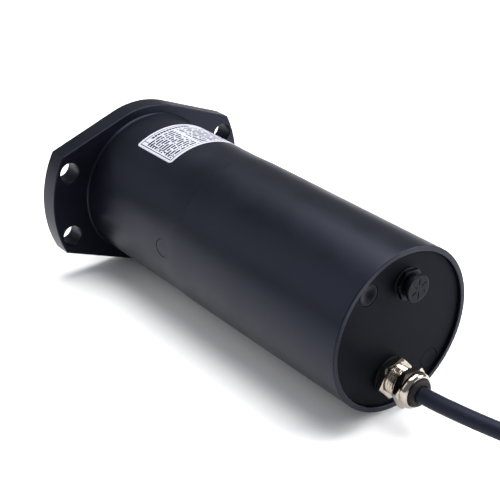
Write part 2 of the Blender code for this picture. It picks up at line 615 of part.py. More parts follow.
# ---------------------------------------------------------------- motor and brake
def motor():
    bearing_bore = ROTOR_STUB_RADIUS + GAP
    bearing_outside = 11.0 * MM
    bearing_seat = bearing_outside + GAP
    bearing_width = 7.0 * MM
    passage = 5.0 * MM
    front, front_end = FRONT_PLATE, FRONT_PLATE + FRONT_PLATE_LENGTH
    rear, rear_end = REAR_PLATE, REAR_PLATE + REAR_PLATE_LENGTH
    front_floor = front_end - 3 * MM
    rear_floor = rear + 1.5 * MM
    turned("motor_front_plate", [
        (SPIGOT_RADIUS, front_end), (SPIGOT_RADIUS, front), (bearing_seat, front),
        (bearing_seat, front_floor), (passage, front_floor), (passage, front_end)],
        ALUMINIUM, steps=SMALL_STEPS)
    turned("motor_front_bearing", bearing_profile(
        bearing_bore, bearing_outside, front_floor - GAP - bearing_width, front_floor - GAP),
        STEEL, steps=FEW_STEPS)
    turned("motor_rear_plate", [
        (INSERT_RADIUS, rear_end), (INSERT_RADIUS, rear), (passage, rear),
        (passage, rear_floor), (bearing_seat, rear_floor), (bearing_seat, rear_end)],
        ALUMINIUM, steps=SMALL_STEPS)
    turned("motor_rear_bearing", bearing_profile(
        bearing_bore, bearing_outside, rear_floor + GAP, rear_floor + GAP + bearing_width),
        STEEL, steps=FEW_STEPS)

    before, behind = CORE_START - 6 * MM, CORE_END + 6 * MM
    front_shoulder = front_end + 0.4 * MM
    rear_shoulder = rear - 0.5 * MM
    nose_shoulder = front - 0.5 * MM
    turned("rotor_shaft", [
        (0.0, ROTOR_END), (ROTOR_STUB_RADIUS, ROTOR_END), (ROTOR_STUB_RADIUS, rear_shoulder),
        (ROTOR_SHOULDER_RADIUS, rear_shoulder), (ROTOR_SHOULDER_RADIUS, behind),
        (ROTOR_SHAFT_RADIUS, behind), (ROTOR_SHAFT_RADIUS, before),
        (ROTOR_SHOULDER_RADIUS, before), (ROTOR_SHOULDER_RADIUS, front_shoulder),
        (ROTOR_STUB_RADIUS, front_shoulder), (ROTOR_STUB_RADIUS, nose_shoulder),
        (SUN_SEAT_RADIUS, nose_shoulder), (SUN_SEAT_RADIUS, ROTOR_NOSE), (0.0, ROTOR_NOSE)],
        STEEL, steps=FEW_STEPS, ring=False)

    # The rotor's stack of sheets carries a cage ring at each end.
    cage = 3.5 * MM
    cage_outside, cage_inside = ROTOR_RADIUS - 0.9 * MM, 19.0 * MM
    bore = ROTOR_SHAFT_RADIUS + GAP
    turned("rotor_core", [
        (cage_outside, CORE_END + cage), (cage_outside, CORE_END), (ROTOR_RADIUS, CORE_END),
        (ROTOR_RADIUS, CORE_START), (cage_outside, CORE_START), (cage_outside, CORE_START - cage),
        (cage_inside, CORE_START - cage), (cage_inside, CORE_START), (bore, CORE_START),
        (bore, CORE_END), (cage_inside, CORE_END), (cage_inside, CORE_END + cage)],
        LAMINATION, steps=FEW_STEPS)
    turned("stator_core", ring_profile(STATOR_BORE, INSERT_RADIUS, CORE_START, CORE_END),
           LAMINATION)

    tip, slope = WINDING_LENGTH, WINDING_LENGTH - 2.5 * MM
    winding = [(37.0 * MM, tip), (39.5 * MM, slope), (39.5 * MM, 0.0), (29.0 * MM, 0.0),
               (29.0 * MM, slope), (31.5 * MM, tip)]
    turned("rear_winding", winding, COPPER, at(along=CORE_END + GAP), FEW_STEPS)
    turned("front_winding", winding, COPPER,
           at(along=CORE_START - GAP) @ Matrix.Rotation(pi, 4, "X"), FEW_STEPS)


def brake():
    """Friction disc on the rotor, the armature plate that clamps it and the magnet behind."""
    passage = 6.0 * MM
    turned("brake_disc", ring_profile(ROTOR_STUB_RADIUS + GAP, 28.0 * MM, *BRAKE_DISC), LINING,
           steps=SMALL_STEPS)
    turned("brake_armature", ring_profile(passage, 30.0 * MM, *BRAKE_ARMATURE), STEEL,
           steps=SMALL_STEPS)
    face, back = BRAKE_MAGNET
    coil_floor = face + 2 * MM
    coil_outside, coil_inside = 26.0 * MM, 15.0 * MM
    turned("brake_magnet", [
        (32.0 * MM, back), (32.0 * MM, face), (coil_outside, face), (coil_outside, coil_floor),
        (coil_inside, coil_floor), (coil_inside, face), (passage, face), (passage, back)],
        STEEL, steps=SMALL_STEPS)


# ---------------------------------------------------------------- connection space
def connection_space():
    start = TRAY_FACE + GAP
    flat("connection_tray", [circle(INSERT_RADIUS, count=ROUND_STEPS),
                             circle(4.0 * MM, (0.0, -20 * MM), FEW_STEPS)],
         TRAY_FACE - 2 * MM, TRAY_FACE, WHITE_PLASTIC)
    can_radius = 9.0 * MM
    can_length = 46.0 * MM
    across = AXIAL @ Matrix.Translation((-can_length / 2, 12 * MM, start + can_radius + GAP))
    turned("run_capacitor", rod_profile(can_radius, 0.0, can_length, 1.0 * MM), ALUMINIUM,
           across @ Matrix.Rotation(radians(90), 4, "Y"), SMALL_STEPS, ring=False)
    depth = 12.0 * MM
    block("terminal_block", (30 * MM, 12 * MM, depth), (1 * MM, -8 * MM, start + depth / 2),
          WHITE_PLASTIC, 0.6 * MM)
    for which in LIMIT_ANGLES:
        turned(f"{which}_limit_switch", rod_profile(6.3 * MM, start, start + depth, 0.5 * MM),
               BLACK_PLASTIC, at(limit_place(which)), SMALL_STEPS, ring=False)
        foot = start + depth + GAP
        head = COVER_BACK + 0.5 * MM
        turned(f"{which}_limit_screw", [
            (0.0, head - 1.5 * MM), (1.3 * MM, head - 1.5 * MM), (1.3 * MM, head),
            (2.8 * MM, head), (2.8 * MM, foot), (0.0, foot)], STEEL, at(limit_place(which)),
            FEW_STEPS, ring=False)


# ---------------------------------------------------------------- mains cable
def smooth_route(points, spacing):
    """Even points along the Catmull-Rom curve through the route's own points."""
    knots = [Vector(p) for p in points]
    knots = [2 * knots[0] - knots[1], *knots, 2 * knots[-1] - knots[-2]]
    fine = [knots[1]]
    pieces = 12
    for a, b, c, d in zip(knots, knots[1:], knots[2:], knots[3:]):
        for k in range(1, pieces + 1):
            t = k / pieces
            fine.append(0.5 * ((2 * b) + (c - a) * t + (2 * a - 5 * b + 4 * c - d) * t ** 2
                               + (3 * b - a - 3 * c + d) * t ** 3))
    lengths = [0.0]
    for p, q in zip(fine, fine[1:]):
        lengths.append(lengths[-1] + (q - p).length)
    count = max(2, round(lengths[-1] / spacing))
    even = []
    for k in range(count + 1):
        target = lengths[-1] * k / count
        index = max(i for i in range(len(lengths)) if lengths[i] <= target + 1e-9)
        index = min(index, len(fine) - 2)
        share = (target - lengths[index]) / (lengths[index + 1] - lengths[index])
        even.append(fine[index].lerp(fine[index + 1], share))
    return even


def cord_tube(name, points, radius, material, sides=3):
    curve = bpy.data.curves.new(name, "CURVE")
    curve.dimensions = "3D"
    curve.bevel_depth = radius
    curve.bevel_resolution = sides
    curve.use_fill_caps = True
    spline = curve.splines.new("POLY")
    spline.points.add(len(points) - 1)
    for point, place in zip(spline.points, points):
        point.co = (*place, 1.0)
    return add_object(name, curve, Matrix.Identity(4), material)


def coil_outline(grow, half_width=COIL_HALF_WIDTH, half_height=COIL_HALF_HEIGHT):
    """Hexagon round two, three and two turns, grown outwards by a wall."""
    narrow = half_width - CABLE_RADIUS
    w, n, h = half_width + grow, narrow + grow / 2, half_height + grow
    shoulder = CABLE_RADIUS * 0.6
    return [(n, h), (w, shoulder), (w, -shoulder), (n, -h), (-n, -h), (-w, -shoulder),
            (-w, shoulder), (-n, h)]


def mains_cable():
    cord_tube("cable_lead", smooth_route(LEAD_ROUTE, TUBE_SPACING), CABLE_RADIUS, BLACK_RUBBER)
    cord_tube("cable_tail", smooth_route(TAIL_ROUTE, TUBE_SPACING), CABLE_RADIUS, BLACK_RUBBER)
    coil_place = Matrix.Translation((*COIL_CENTRE, COIL_FOOT + COIL_HALF_HEIGHT))
    section = [(COIL_MEAN_RADIUS + x, z) for x, z in coil_outline(0.0)]
    turned("cable_coil", section, BLACK_RUBBER, coil_place, 32)
    tie_ring = [coil_outline(GAP + TIE_THICKNESS), coil_outline(GAP)]
    stand = Matrix.Translation((COIL_MEAN_RADIUS, 0, 0)) @ Matrix.Rotation(pi / 2, 4, "X")
    for number, angle in enumerate(TIE_ANGLES, 1):
        flat(f"cable_tie_{number}", tie_ring, -TIE_WIDTH / 2, TIE_WIDTH / 2, BLACK_PLASTIC,
             coil_place @ Matrix.Rotation(angle, 4, "Z") @ stand)


def stripped_end():
    """Four insulated cores fan out of the cut sheath and come to lie on the floor."""
    end, before = Vector(TAIL_ROUTE[-1]), Vector(TAIL_ROUTE[-2])
    onward = Vector((end.x - before.x, end.y - before.y, 0.0)).normalized()
    aside = Vector((-onward.y, onward.x, 0.0))
    bundle = 1.75 * MM
    for k, name in enumerate(CORE_NAMES):
        column = -1 if k < 2 else 1
        level = 1 if k in (1, 2) else -1
        points = []
        for step in range(CORE_POINTS):
            share = step / (CORE_POINTS - 1)
            ease = share * share * (3 - 2 * share)
            side = column * bundle * (1 - ease) + (k - 1.5) * CORE_SPREAD * ease
            height = (end.z + level * bundle) * (1 - ease) + (CORE_RADIUS + 0.1 * MM) * ease
            spot = end + onward * (2 * GAP + CORE_LENGTH * share) + aside * side
            points.append(Vector((spot.x, spot.y, height)))
        cord_tube(name, points, CORE_RADIUS, CORE_PLASTIC, 2)


mounting_flange()
gear_housing()
oil_plug()
motor_tube()
rating_label()
rear_cover()
limit_plugs()
vent_plug()
cable_gland()
output_shaft()
gearbox()
motor()
brake()
connection_space()
mains_cable()
stripped_end()
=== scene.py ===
# %% [markdown]
# # A roller shutter motor
# The object is a tubular gear motor as it comes out of its box: a diamond flange, a cast gear
# housing, a painted tube, a rear cover with its fittings, and a mains cable in a coil. The packed
# CAD model is loaded first and stays as it is. It settles every size and every place, so the cells
# below only ask it where things are and then give each visible piece its real surface.

# %% Load the frame
import json

import bmesh
import bpy
import numpy as np
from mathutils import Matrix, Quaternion, Vector
from mathutils.geometry import tessellate_polygon


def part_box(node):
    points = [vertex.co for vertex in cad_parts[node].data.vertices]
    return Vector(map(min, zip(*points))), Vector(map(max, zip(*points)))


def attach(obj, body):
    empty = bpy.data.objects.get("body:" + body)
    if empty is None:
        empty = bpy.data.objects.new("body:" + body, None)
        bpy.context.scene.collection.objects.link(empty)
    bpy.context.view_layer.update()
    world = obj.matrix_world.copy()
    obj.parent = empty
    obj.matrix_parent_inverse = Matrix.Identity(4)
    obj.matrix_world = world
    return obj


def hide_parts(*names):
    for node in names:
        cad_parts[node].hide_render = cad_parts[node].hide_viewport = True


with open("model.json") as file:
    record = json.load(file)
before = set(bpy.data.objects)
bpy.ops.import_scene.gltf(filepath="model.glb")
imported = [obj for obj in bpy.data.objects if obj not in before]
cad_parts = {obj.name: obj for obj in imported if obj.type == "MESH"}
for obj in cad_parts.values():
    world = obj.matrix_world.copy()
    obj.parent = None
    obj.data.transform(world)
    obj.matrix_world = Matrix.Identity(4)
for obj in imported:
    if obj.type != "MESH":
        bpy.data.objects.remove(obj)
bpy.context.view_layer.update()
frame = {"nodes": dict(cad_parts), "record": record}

MM = 0.001
tube_low, tube_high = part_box("motor_tube")
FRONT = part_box("mounting_flange")[0].x
AXIS = (tube_low.z + tube_high.z) / 2
print(f"mounting face at X {FRONT:.4f}, motor axis at Z {AXIS:.4f}")

# %% [markdown]
# ## The camera and the room
# The camera looks down along the motor from beyond its rear cover, with a lens of portrait length,
# so the tube narrows gently towards the flange. The floor is a plain pale sheet. One large lamp
# hangs over the motor as in a light tent, a second one stands beyond the cover on the right, and a
# third fills the shadow on the left. The room itself gives a weak even light.


# %% Camera
def look(eye, direction, roll, focal_length):
    """Camera at eye that looks along direction, then turned by roll about its own line of sight."""
    camera = bpy.data.objects.new("camera", bpy.data.cameras.new("camera"))
    camera.data.lens = focal_length
    camera.location = eye
    camera.rotation_mode = "QUATERNION"
    turn = Quaternion((0.0, 0.0, 1.0), roll)
    camera.rotation_quaternion = Vector(direction).to_track_quat("-Z", "Y") @ turn
    bpy.context.scene.collection.objects.link(camera)
    bpy.context.scene.camera = camera
    return camera


view_camera = look((0.5204, -0.4161, 0.3858), (-0.69074, 0.56281, -0.45402), 0.0283, 85.3)
view_camera.data.clip_start = 0.01
bpy.context.scene.view_settings.view_transform = "Standard"
print("camera looks from", tuple(view_camera.location))


# %% Colour and nodes
def linear(colour):
    """Linear colour of an sRGB hex value: c / 12.92 below 0.04045, else ((c + 0.055) / 1.055) ^ 2.4."""
    parts = np.array([int(colour[k:k + 2], 16) for k in (1, 3, 5)]) / 255
    parts = np.where(parts <= 0.04045, parts / 12.92, ((parts + 0.055) / 1.055) ** 2.4)
    return (*parts.tolist(), 1.0)


def add_node(tree, kind, inputs=None, **settings):
    """Add a node with its settings. Each input is a value, or another node's socket to link."""
    made = tree.nodes.new(kind)
    for name, value in settings.items():
        setattr(made, name, value)
    for name, value in (inputs or {}).items():
        if isinstance(value, bpy.types.NodeSocket):
            tree.links.new(value, made.inputs[name])
        else:
            made.inputs[name].default_value = value
    return made


def per_metre(millimetres):
    """Scale of a pattern whose features are this far apart."""
    return 1 / (millimetres * MM)


# %% Room
def lamp(name, place, target, size, power, colour="#ffffff"):
    """A square area lamp at place that faces target."""
    light = bpy.data.lights.new(name, "AREA")
    light.size = size
    light.energy = power
    light.color = linear(colour)[:3]
    thing = bpy.data.objects.new(name, light)
    thing.location = place
    facing = Vector(target) - Vector(place)
    thing.rotation_euler = facing.to_track_quat("-Z", "Y").to_euler()
    bpy.context.scene.collection.objects.link(thing)
    return thing


room = bpy.data.worlds.new("light_tent")
room.use_nodes = True
room.node_tree.nodes["Background"].inputs["Color"].default_value = linear("#f4f6ff")
room.node_tree.nodes["Background"].inputs["Strength"].default_value = 0.3
bpy.context.scene.world = room
lamp("overhead", (-0.1, 0.25, 1.5), (0.0, 0.0, 0.0), 1.5, 46.0)
lamp("beyond_cover", (0.75, 0.85, 0.55), (0.14, 0.0, 0.06), 0.5, 16.0)
lamp("left_fill", (-0.55, -1.0, 0.75), (0.0, -0.1, 0.0), 1.1, 6.0)

floor_mesh = bpy.data.meshes.new("floor")
floor_mesh.from_pydata([(-6, -6, 0), (6, -6, 0), (6, 6, 0), (-6, 6, 0)], [], [(0, 1, 2, 3)])
floor = bpy.data.objects.new("floor", floor_mesh)
bpy.context.scene.collection.objects.link(floor)
paper = bpy.data.materials.new("white_card")
paper.use_nodes = True
paper_shader = paper.node_tree.nodes["Principled BSDF"]
paper_shader.inputs["Roughness"].default_value = 0.9
paper_shader.inputs["Specular IOR Level"].default_value = 0.1
paper_place = add_node(paper.node_tree, "ShaderNodeTexCoord")
paper_fibre = add_node(paper.node_tree, "ShaderNodeTexNoise",
                       {"Vector": paper_place.outputs["Object"], "Scale": per_metre(40.0)})
paper_tone = add_node(paper.node_tree, "ShaderNodeMixRGB",
                      {"Fac": paper_fibre.outputs["Fac"], "Color1": linear("#f7f7f8"),
                       "Color2": linear("#fbfbfc")})
paper.node_tree.links.new(paper_tone.outputs["Color"], paper_shader.inputs["Base Color"])
floor_mesh.materials.append(paper)
print("room has", len(bpy.data.lights), "lamps")

# %% [markdown]
# ## Surfaces worked out with numpy
# Nearly every piece of this motor was turned on a lathe, so most of them are one profile carried
# round an axis. A hexagon is the same surface with a radius that changes with the angle, and a
# cut plate is a rim carried round each of its edges with a flat face on either side. Three short
# functions make all of them as grids of points, worked out as whole arrays.


# %% From a grid of points to a piece
CREASE = 32.0


def grid_quads(rows, columns):
    """Faces between each point and the next in both directions, closed along the columns."""
    row = np.arange(rows - 1)[:, None] * columns
    here = np.arange(columns)[None, :]
    after = (here + 1) % columns
    quads = [row + here, row + after, row + columns + after, row + columns + here]
    return np.stack(np.broadcast_arrays(*quads), axis=-1).reshape(-1, 4)


def piece(name, points, faces, material, nodes=(), body="motor_body", crease=CREASE):
    """A mesh from arrays: doubles merged, edges over crease degrees sharp, on its body."""
    mesh = bpy.data.meshes.new(name)
    mesh.from_pydata(np.asarray(points).tolist(), [], [list(map(int, f)) for f in faces])
    mesh.materials.append(material)
    thing = bpy.data.objects.new(name, mesh)
    bpy.context.scene.collection.objects.link(thing)
    weld(mesh)
    mesh.shade_smooth()
    mesh.set_sharp_from_angle(angle=np.radians(crease))
    even = thing.modifiers.new("even_normals", "WEIGHTED_NORMAL")
    even.keep_sharp = True
    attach(thing, body)
    if nodes:
        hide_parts(*nodes)
    print(f"{name}: {len(mesh.polygons)} faces")
    return thing


def weld(mesh):
    """Merge the points that share a place, which closes seams and the poles on an axis.

    A closed surface then has its faces turned outwards. An open film keeps its own side."""
    shape = bmesh.new()
    shape.from_mesh(mesh)
    bmesh.ops.remove_doubles(shape, verts=shape.verts, dist=1e-7)
    if all(edge.is_manifold for edge in shape.edges):
        bmesh.ops.recalc_face_normals(shape, faces=shape.faces)
    shape.to_mesh(mesh)
    shape.free()


slot_of = {part["node"]: part["material_slot"] for part in frame["record"]["subparts"]}


# %% Profiles
def soften(corners, closed=True, steps=5):
    """Round each (radius, along, rounding) corner of a profile.

    Rounding is the distance from the corner to where the curve leaves its edges. The curve is
    (1 - t)^2 start + 2 t (1 - t) corner + t^2 end."""
    table = np.array(corners, dtype=float)
    spots, rounding = table[:, :2], table[:, 2:]
    back = np.roll(spots, 1, axis=0) - spots
    on = np.roll(spots, -1, axis=0) - spots
    start = spots + back / np.linalg.norm(back, axis=1, keepdims=True) * rounding
    end = spots + on / np.linalg.norm(on, axis=1, keepdims=True) * rounding
    t = np.linspace(0, 1, steps)[None, :, None]
    curve = (1 - t) ** 2 * start[:, None] + 2 * t * (1 - t) * spots[:, None] + t ** 2 * end[:, None]
    curve = curve.reshape(-1, 2)
    fresh = np.linalg.norm(curve - np.roll(curve, 1, axis=0), axis=1) > 1e-6
    curve = curve[fresh]
    return np.vstack([curve, curve[:1]]) if closed else curve


def polar(radius, along, angle, centre=(0.0, 0.0)):
    """Points at a radius and angle round a line that runs along the motor, in millimetres.

    X is FRONT plus along, Y is centre plus radius cos(angle), Z is centre plus radius sin(angle)."""
    radius, along, angle = np.broadcast_arrays(radius, along, angle)
    return np.stack([FRONT + along * MM, (centre[0] + radius * np.cos(angle)) * MM,
                     AXIS + (centre[1] + radius * np.sin(angle)) * MM], axis=-1).reshape(-1, 3)


def turned(name, profile, material, centre=(0.0, 0.0), steps=192, **place):
    """A profile of (radius, along) points, its outer side running away from the flange."""
    profile = np.asarray(profile)
    angle = np.linspace(0, 2 * np.pi, steps, endpoint=False)
    points = polar(profile[:, :1], profile[:, 1:], angle[None, :], centre)
    return piece(name, points, grid_quads(len(profile), steps), material, **place)


# %% Plates with holes
RIM_STEPS = 4


def circle(radius, centre=(0.0, 0.0), count=64):
    """Points centre + radius (cos, sin) of angles in equal steps, counter-clockwise."""
    angle = np.linspace(0, 2 * np.pi, count, endpoint=False)
    return np.stack([centre[0] + radius * np.cos(angle), centre[1] + radius * np.sin(angle)], -1)


def outward(loop):
    """Unit normals of a closed line that runs counter-clockwise, lengthened at its corners.

    Each is the mean of both edges' normals, divided by the cosine of half the corner's turn."""
    edge = np.roll(loop, -1, axis=0) - loop
    edge /= np.linalg.norm(edge, axis=1, keepdims=True)
    normal = np.stack([edge[:, 1], -edge[:, 0]], axis=-1)
    mean = normal + np.roll(normal, 1, axis=0)
    return 2 * mean / np.sum(mean ** 2, axis=1, keepdims=True)


def plate(name, loops, low, high, breaks, material, upright=False, **place):
    """A plate between low and high whose first loop is its outline and whose others are holes.

    breaks gives each loop's edge break. The rim goes round a quarter circle of that radius on
    both faces: it lies break (1 - sin t) inside the loop at break (1 - cos t) from the face. An
    upright plate lies level, its loops being (along, across) and its thickness going up."""
    t = np.linspace(0, np.pi / 2, RIM_STEPS)
    points, faces, rings, first = [], [], {low: [], high: []}, 0
    for number, (loop, size) in enumerate(zip(loops, breaks)):
        inward = size * (1 - np.sin(t))
        depth = size * (1 - np.cos(t))
        inset = np.concatenate([inward, inward[::-1]])
        along = np.concatenate([low + depth, high - depth[::-1]])
        side = -1 if number else 1
        rim = loop[None] - side * inset[:, None, None] * outward(loop)[None]
        depth_grid = np.broadcast_to(along[:, None], rim.shape[:2])
        points.append(np.stack([depth_grid, rim[..., 0], rim[..., 1]], -1).reshape(-1, 3))
        quads = grid_quads(len(inset), len(loop)) + first
        faces += (quads if side == 1 else quads[:, ::-1]).tolist()
        rings[low].append((first, rim[0]))
        rings[high].append((first + (len(inset) - 1) * len(loop), rim[-1]))
        first += rim.shape[0] * rim.shape[1]
    for level, facing in ((low, -1), (high, 1)):
        flat = [[Vector((y, z, 0.0)) for y, z in ring] for _, ring in rings[level]]
        index = np.concatenate([start + np.arange(len(ring)) for start, ring in rings[level]])
        spots = np.concatenate([ring for _, ring in rings[level]])
        corners = np.array(tessellate_polygon(flat))
        a, b, c = (spots[corners[:, k]] for k in range(3))
        area = (b - a)[:, 0] * (c - a)[:, 1] - (b - a)[:, 1] * (c - a)[:, 0]
        corners[area * facing < 0] = corners[area * facing < 0][:, ::-1]
        faces += index[corners].tolist()
    points = np.concatenate(points)
    if upright:
        points = np.roll(points, -1, axis=1)
    points = points * MM + np.array([FRONT, 0.0, AXIS])
    return piece(name, points, faces, material, **place)


# %% Hexagons
WORN_CORNER, CHAMFER_CIRCLE = 0.985, 0.965


def hexagon(across_flats, turn, angle):
    """Radius of a hexagon at an angle, its corners worn to a share of their sharp radius.

    The radius is half the width across flats over the cosine of the angle to the nearest flat."""
    to_flat = np.mod(angle - turn, np.pi / 3) - np.pi / 6
    sharp = across_flats / 2 / np.cos(to_flat)
    return np.minimum(sharp, WORN_CORNER * across_flats / 2 / np.cos(np.pi / 6))


def nut_rows(across_flats, turn, angle, low, high, chamfer=np.radians(28)):
    """Rows of a hexagon turned to a cone at both ends, as (radius, along) arrays.

    A row starts from the cone's foot circle; where the hexagon is wider than the circle the edge
    drops by the difference times the chamfer's tangent."""
    radius = hexagon(across_flats, turn, angle)
    foot = np.minimum(radius, across_flats / 2 * CHAMFER_CIRCLE)
    drop = (radius - foot) * np.tan(chamfer)
    return [(foot, low + 0 * angle), (radius, low + drop), (radius, high - drop),
            (foot, high + 0 * angle)]


def rows_piece(name, rows, angle, centre, material, **place):
    """A closed piece from rows of (radius, along), each a number or an array over the angle."""
    radius = np.array([np.broadcast_to(r, angle.shape) for r, _ in rows])
    along = np.array([np.broadcast_to(a, angle.shape) for _, a in rows])
    points = polar(radius, along, angle[None, :], centre)
    return piece(name, points, grid_quads(len(rows), len(angle)), material, **place)


# %% [markdown]
# ## Finishes
# Every finish here is a plain shader with three slow habits of real surfaces: its tone drifts over
# some centimetres, its gloss drifts with it, and a fine relief breaks up the highlights. One
# function lays these down, with sizes in millimetres, and the values say which finish it is.


# %% A finish from real sizes
def finish(name, dark, light, rough, patch, grain, relief, metallic=0.0, stretch=(1, 1, 1), **plain):
    """Tone between dark and light over patch mm, roughness rough[0] to rough[1] with it.

    The relief is noise of grain mm, relief mm deep. Stretch squeezes the pattern along an axis;
    0 keeps it from changing that way at all. Plain values go on the shader's own sockets."""
    material = bpy.data.materials.new(name)
    material.use_nodes = True
    tree = material.node_tree
    shader = tree.nodes["Principled BSDF"]
    shader.inputs["Metallic"].default_value = metallic
    for socket, value in plain.items():
        shader.inputs[socket.replace("_", " ")].default_value = value
    place = add_node(tree, "ShaderNodeTexCoord")
    turn = add_node(tree, "ShaderNodeMapping",
                    {"Vector": place.outputs["Object"], "Scale": stretch})
    drift = add_node(tree, "ShaderNodeTexNoise",
                     {"Vector": turn.outputs["Vector"], "Scale": per_metre(patch), "Detail": 4.0})
    share = add_node(tree, "ShaderNodeMapRange",
                     {"Value": drift.outputs["Fac"], "From Min": 0.3, "From Max": 0.7})
    tone = add_node(tree, "ShaderNodeMixRGB", {"Fac": share.outputs["Result"],
                                               "Color1": linear(dark), "Color2": linear(light)})
    gloss = add_node(tree, "ShaderNodeMapRange", {"Value": share.outputs["Result"],
                                                  "To Min": rough[0], "To Max": rough[1]})
    fine = add_node(tree, "ShaderNodeTexNoise",
                    {"Vector": turn.outputs["Vector"], "Scale": per_metre(grain), "Detail": 2.0})
    bump = add_node(tree, "ShaderNodeBump", {"Height": fine.outputs["Fac"],
                                             "Distance": relief * MM, "Strength": 1.0})
    tree.links.new(tone.outputs["Color"], shader.inputs["Base Color"])
    tree.links.new(gloss.outputs["Result"], shader.inputs["Roughness"])
    tree.links.new(bump.outputs["Normal"], shader.inputs["Normal"])
    return material


# %% [markdown]
# Powder coat is a baked polymer skin. It is never quite level: it keeps a faint orange peel about
# a millimetre across, which is why its highlights are broad and soft. The rear cover has a finer
# and flatter coat that hardly shines.

# %% Coats, rubber and plastic
COAT_TINT = linear("#b6c0ec")
satin_coat = finish("satin_powder_coat", "#08090e", "#0d0e15", (0.33, 0.42), 34.0, 1.1, 0.012,
                    Specular_IOR_Level=0.24, Specular_Tint=COAT_TINT)
flat_coat = finish("flat_powder_coat", "#090a0e", "#0e0f14", (0.5, 0.58), 26.0, 0.5, 0.02,
                   Specular_IOR_Level=0.05, Specular_Tint=COAT_TINT)
moulded_nylon = finish("moulded_nylon", "#030304", "#060608", (0.4, 0.52), 6.0, 0.4, 0.01,
                       Specular_IOR_Level=0.12, Specular_Tint=COAT_TINT)
seal_rubber = finish("nitrile_rubber", "#060607", "#0c0c0e", (0.62, 0.75), 5.0, 0.5, 0.02,
                     Specular_IOR_Level=0.3)
cable_sheath = finish("neoprene_sheath", "#07080c", "#12141c", (0.5, 0.66), 2.2, 0.8, 0.05,
                      Specular_IOR_Level=0.3, Specular_Tint=COAT_TINT)
tie_nylon = finish("cable_tie_nylon", "#08080a", "#101013", (0.4, 0.5), 5.0, 0.6, 0.01)
tray_plastic = finish("glass_filled_polyamide", "#c9c6bb", "#d6d3c9", (0.45, 0.55), 9.0, 0.5, 0.01)

# %% [markdown]
# The gland is brass under a bright nickel plate, a mirror with a slightly warm tone. The shaft is
# ground, so its fine marks run round it. They only change along its length, which the finish gets
# from a pattern that is stretched out of sight the other two ways.

# %% Metals
nickel = finish("bright_nickel_plate", "#958d82", "#ada498", (0.07, 0.14), 5.0, 0.9, 0.004, 1.0)
ground_steel = finish("ground_steel", "#8f9194", "#a3a5a8", (0.26, 0.36), 3.0, 0.35, 0.0015, 1.0,
                      (1.0, 0.0, 0.0))
gear_steel = finish("hobbed_gear_steel", "#7f8184", "#94969a", (0.3, 0.44), 4.0, 0.4, 0.008, 1.0)
sheet_steel = finish("stacked_sheet_steel", "#66686b", "#8a8c90", (0.42, 0.56), 0.5, 0.5, 0.05, 1.0,
                     (1.0, 0.0, 0.0))
copper = finish("enamelled_copper_wire", "#8a3c18", "#b0562a", (0.28, 0.4), 3.0, 0.8, 0.2, 1.0)
aluminium = finish("cast_aluminium", "#b0b1b3", "#c4c5c7", (0.4, 0.55), 12.0, 0.8, 0.03, 1.0)
lining = finish("woven_brake_lining", "#2a211c", "#46392f", (0.8, 0.92), 1.2, 0.5, 0.08)
print("finishes made:", len(bpy.data.materials))

# %% [markdown]
# ## Painted castings
# The flange is a diamond of thick plate: two arcs of a large circle carry the bolts, and two small
# arcs clear the housing above and below. Its edges are only just broken, and that narrow round
# is what draws the thin bright line along the rim.

# %% Mounting flange
THICKNESS = 13.8
END_RADIUS, WAIST_RADIUS = 75.0, 55.8
CORNER = np.radians(27.3)
BOLT_CIRCLE, BOLT_ANGLE, BOLT_HOLE = 65.9, np.radians(20.0), 6.75


def flange_outline(count=72):
    """Half is an arc of END_RADIUS out to the corners and an arc of WAIST_RADIUS over the top.

    A straight flank from a corner touches the waist arc where the corner's angle has grown by
    arccos(WAIST_RADIUS / END_RADIUS). The other half is the first one turned half a turn."""
    touch = CORNER + np.arccos(WAIST_RADIUS / END_RADIUS)
    end = np.linspace(-CORNER, CORNER, count)
    waist = np.linspace(touch, np.pi - touch, count)
    angle = np.concatenate([end, waist])
    radius = np.repeat([END_RADIUS, WAIST_RADIUS], count)
    half = np.stack([radius * np.cos(angle), radius * np.sin(angle)], axis=-1)
    return np.concatenate([half, -half])


bolt_angles = np.array([BOLT_ANGLE, np.pi - BOLT_ANGLE, np.pi + BOLT_ANGLE, -BOLT_ANGLE])
bolt_places = BOLT_CIRCLE * np.stack([np.cos(bolt_angles), np.sin(bolt_angles)], axis=-1)
flange_loops = [flange_outline(), *(circle(BOLT_HOLE, spot, 72) for spot in bolt_places),
                circle(21.2, count=128)]
plate("cast_flange", flange_loops, 0.0, THICKNESS, [0.7, 0.55, 0.55, 0.55, 0.55, 0.8], satin_coat,
      nodes=["mounting_flange"], crease=40.0)

# %% [markdown]
# The gear housing flares into a small fillet where it meets the flange, because a casting never
# has a sharp inside corner. A round plug closes the oil filler in its side. The seat is cut out of
# the finished surface, since a hole across a cylinder has no simple grid of its own.

# %% Gear housing, oil plug and motor tube
SHELL_STEPS = 288
housing_profile = soften([
    (50.35, 14.1, 0.0), (49.45, 15.3, 0.9), (49.45, 96.0, 4.0), (49.95, 111.97, 0.06),
    (46.4, 111.97, 0.0),
    (46.4, 124.0, 0.4), (43.5, 124.0, 0.4), (43.5, 14.1, 0.0)])
housing = turned("cast_gear_housing", housing_profile, satin_coat, steps=SHELL_STEPS,
                 nodes=["gear_housing"])


OIL_PLUG_ALONG = 100.0


